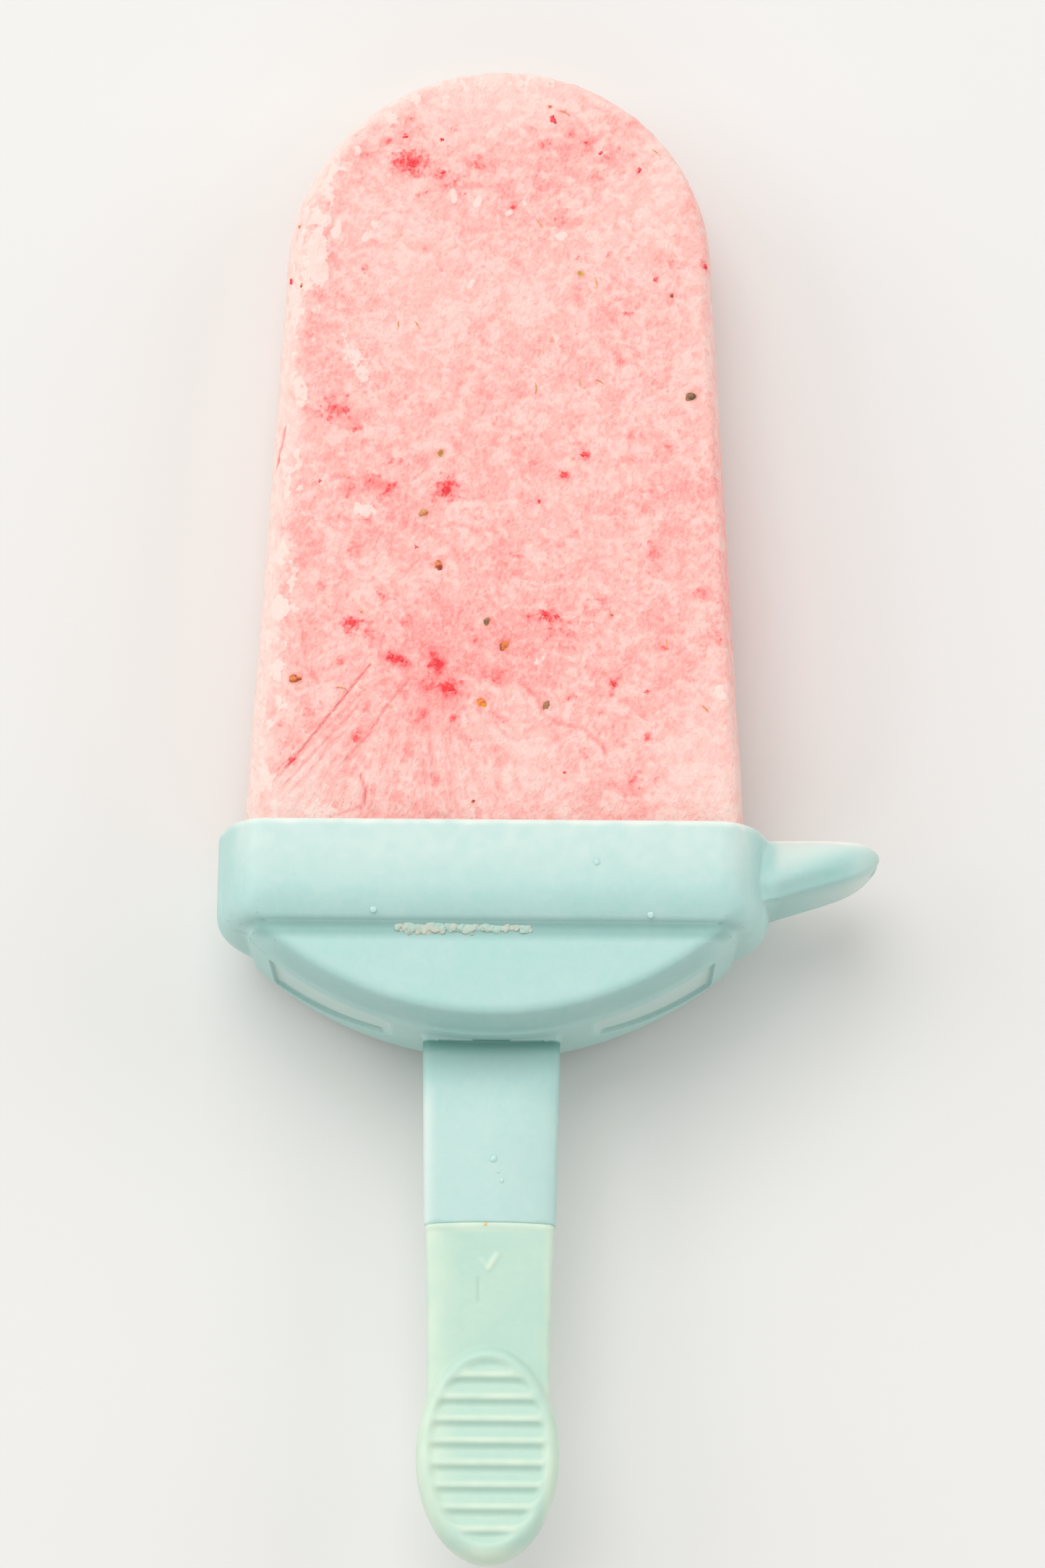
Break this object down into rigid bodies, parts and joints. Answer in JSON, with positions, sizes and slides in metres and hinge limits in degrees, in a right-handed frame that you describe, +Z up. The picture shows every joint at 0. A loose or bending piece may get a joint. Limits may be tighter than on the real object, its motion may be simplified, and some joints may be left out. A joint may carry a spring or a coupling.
{
  "type": "ice pop",
  "caption": "Frozen fruit ice pop with a rounded tip on a reusable plastic holder: drip tray, sip spout, flat stick and ribbed oval thumb grip. Lies on its back.",
  "frame": {"origin": "middle of the small flat on the back of the drip tray's rim, on the table that the pop lies on", "axes": "+Z up, out of the front face; +Y along the pop to its tip; +X to the side that the sip spout is on"},
  "size_m": [0.0853, 0.197, 0.0274],
  "materials": {
    "fruit_ice": "frosty pale pink ice with red fruit flecks and seeds",
    "guard_plastic": "satin pale turquoise plastic",
    "grip_plastic": "satin pale green plastic"
  },
  "bodies": {
    "root": {"ice_pop": "fruit_ice", "guard": "guard_plastic", "grip": "grip_plastic"}
  },
  "joints": []
}
